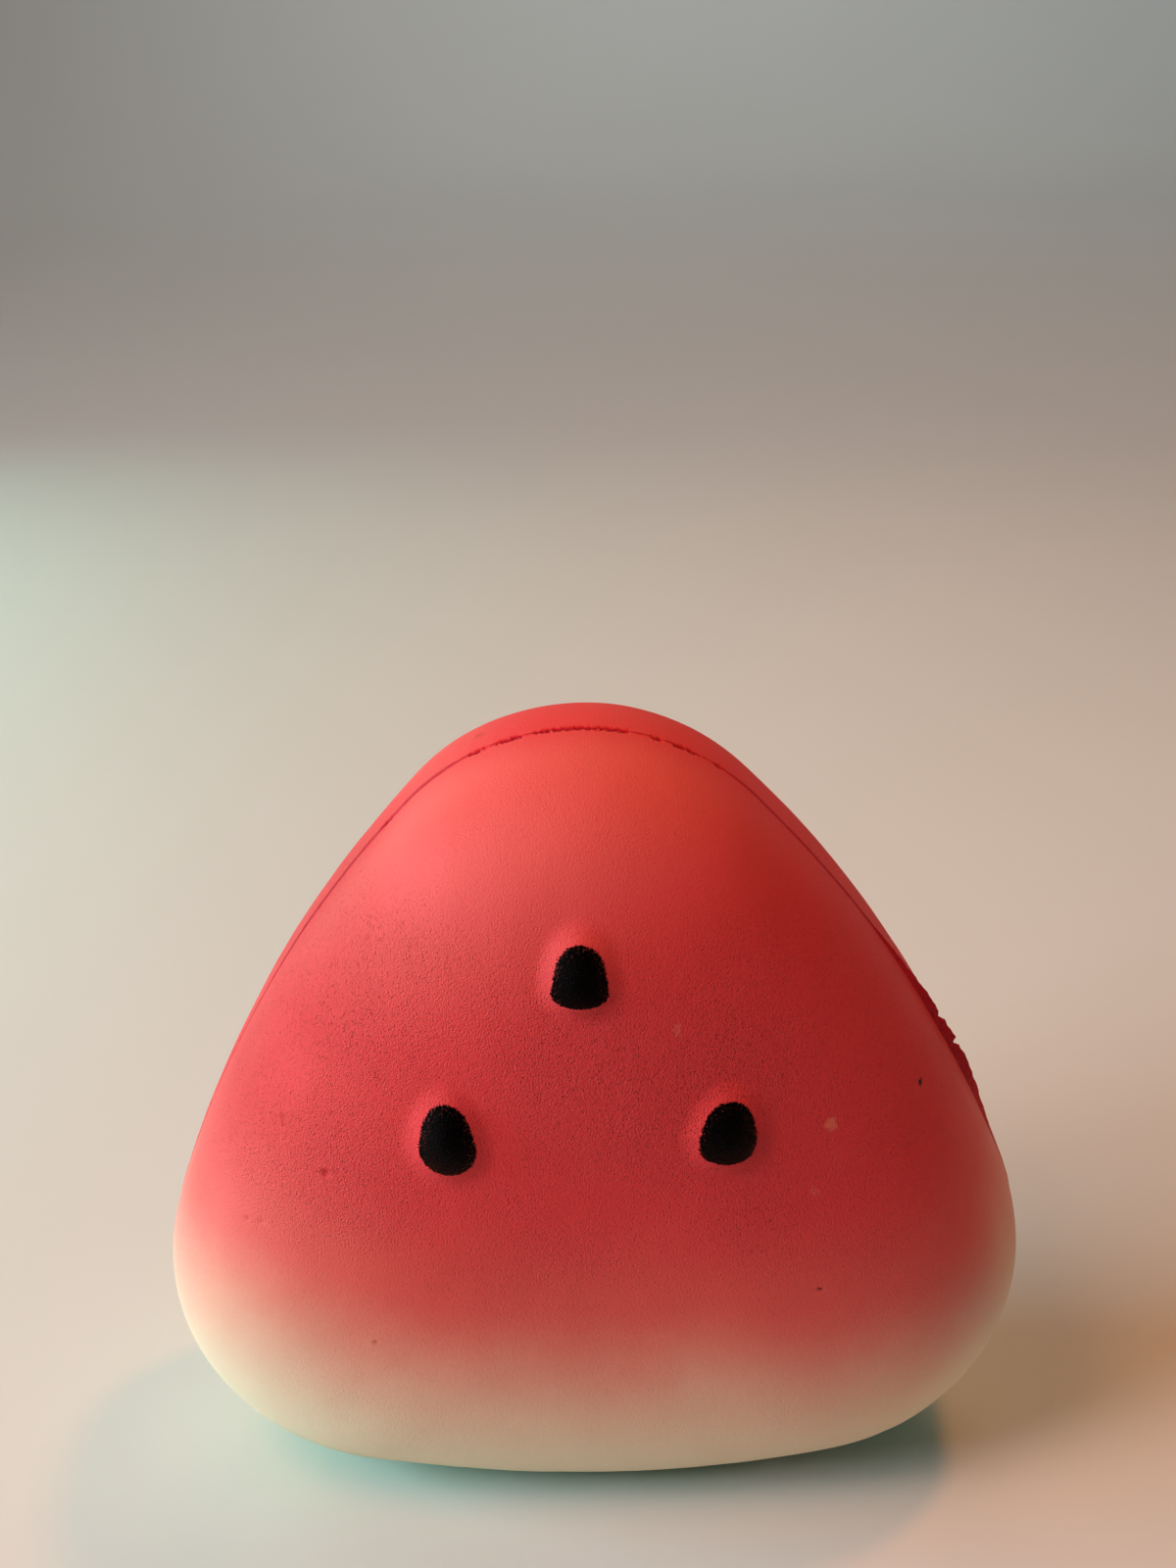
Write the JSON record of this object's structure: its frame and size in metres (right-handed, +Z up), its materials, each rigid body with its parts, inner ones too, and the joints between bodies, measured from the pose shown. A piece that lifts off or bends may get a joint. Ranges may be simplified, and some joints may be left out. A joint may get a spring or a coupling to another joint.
{
  "type": "watermelon wedge foam squeeze toy",
  "caption": "Soft moulded foam squeeze toy shaped like a plump watermelon wedge with raised black seeds, standing on its curved rind edge.",
  "frame": {"origin": "middle of the flat spot on the rind edge that the toy stands on", "axes": "+Z up from the rind to the tip, X across the rind, and -Y out of the front face"},
  "size_m": [0.1004, 0.0514, 0.0929],
  "materials": {
    "painted_foam": "soft matt foam skin, sprayed red over a cream and green rind, with black seeds printed on"
  },
  "bodies": {
    "root": {"foam_wedge": "painted_foam"}
  },
  "joints": []
}
